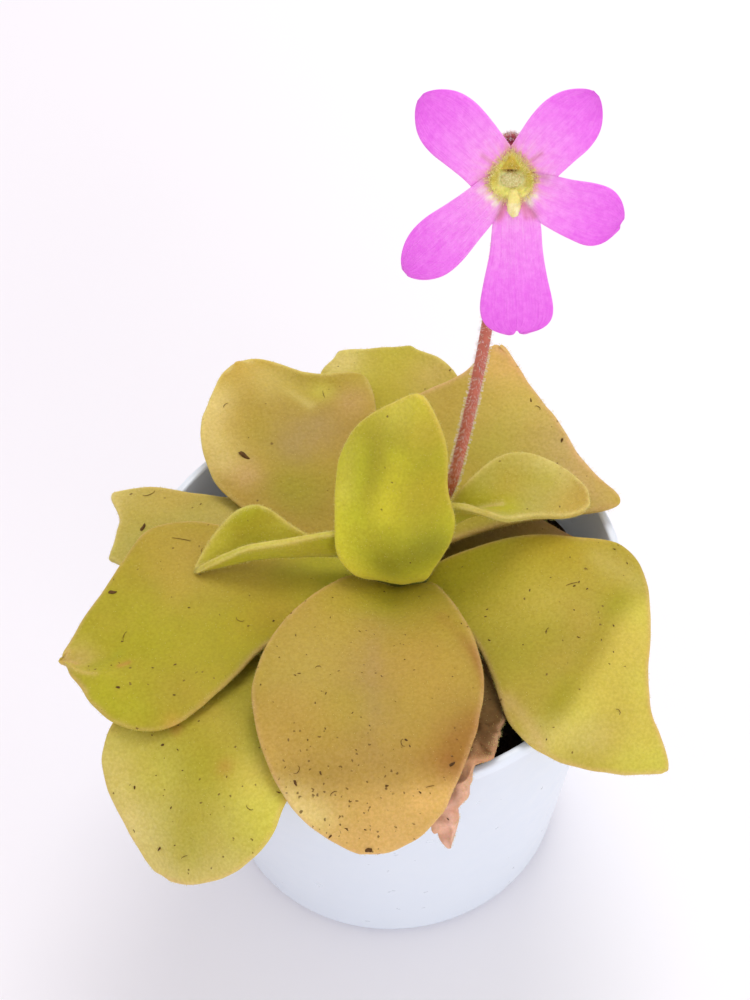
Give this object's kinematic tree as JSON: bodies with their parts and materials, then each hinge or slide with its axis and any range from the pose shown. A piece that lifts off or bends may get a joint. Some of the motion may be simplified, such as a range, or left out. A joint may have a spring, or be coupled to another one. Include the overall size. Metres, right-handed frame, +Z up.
{
  "type": "potted butterwort",
  "caption": "Rosette of broad fleshy leaves with a violet flower on a slender stalk, growing in a small round white pot.",
  "frame": {"origin": "on the pot's axis, in the plane that the pot stands on", "axes": "+Z up along the pot's axis, -Y towards the front, where one leaf hangs over the rim, +X to the flower's side"},
  "size_m": [0.0878, 0.0917, 0.1394],
  "materials": {
    "white_plastic": "moulded white plastic, softly glossy",
    "peat": "damp black peat, rough",
    "crown": "living green stem",
    "leaf_green": "fleshy yellow-green leaf with a fine sticky down",
    "leaf_ochre": "fleshy ochre leaf with a fine sticky down",
    "petal": "violet petal, paler and yellow-green at the throat",
    "stigma": "grey-green living tissue",
    "stamen": "pale yellow living tissue",
    "calyx": "dark red, glandular-hairy",
    "scape": "reddish stalk with short pale hairs"
  },
  "bodies": {
    "root": {"pot": "white_plastic", "soil": "peat", "crown": "crown", "leaf_front": "leaf_ochre", "leaf_front_left": "leaf_green", "leaf_left": "leaf_green", "leaf_left_lower": "leaf_green", "leaf_front_right": "leaf_green", "leaf_back_left": "leaf_ochre", "leaf_back": "leaf_green", "leaf_back_right": "leaf_ochre", "leaf_right_lower": "leaf_ochre", "leaf_withered": "leaf_ochre", "leaf_young_right": "leaf_green", "leaf_young_left": "leaf_green", "leaf_heart": "leaf_green", "scape": "scape", "calyx": "calyx", "corolla": "petal", "pistil": "stigma", "stamen_left": "stamen", "stamen_right": "stamen"}
  },
  "joints": []
}
